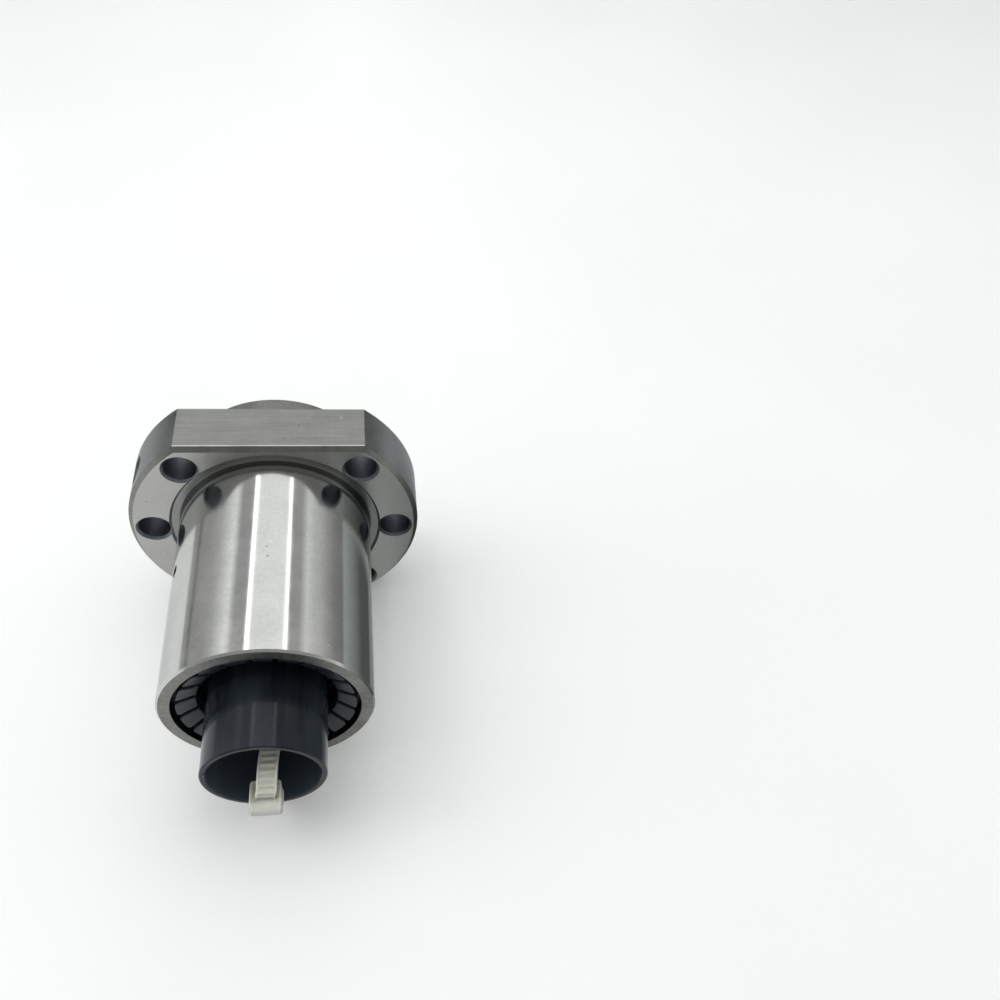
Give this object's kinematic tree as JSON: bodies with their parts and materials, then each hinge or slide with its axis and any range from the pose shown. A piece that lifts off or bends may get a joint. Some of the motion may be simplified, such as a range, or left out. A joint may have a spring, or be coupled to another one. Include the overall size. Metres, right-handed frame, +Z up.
{
  "type": "ball screw nut",
  "caption": "Flanged ball screw nut with two flats, a grease port and segmented end wiper, kept on its black arbor sleeve by a cable tie.",
  "frame": {"origin": "on the screw axis, in the plane of the flange's mounting face, at the centre of its bolt holes", "axes": "+Y along the screw axis towards the rear boss, +Z up out of the upper flat, +X to the right when the body's open end is looked at"},
  "size_m": [0.061, 0.0981, 0.0494],
  "materials": {
    "ground_steel": "ground",
    "wiper_plastic": "satin",
    "deflector_plastic": "matte",
    "sleeve_plastic": "gloss",
    "natural_nylon": "satin"
  },
  "bodies": {
    "nut": {"nut_body": "ground_steel", "front_wiper": "wiper_plastic", "rear_wiper": "wiper_plastic", "front_deflector": "deflector_plastic", "rear_deflector": "deflector_plastic", "cable_tie": "natural_nylon"},
    "sleeve": {"arbor_sleeve": "sleeve_plastic"}
  },
  "joints": [
    {"name": "sleeve_turn", "type": "hinge", "parent": "nut", "child": "sleeve", "pos_m": [0, 0, 0], "axis": [0, 1, 0], "continuous": true}
  ]
}
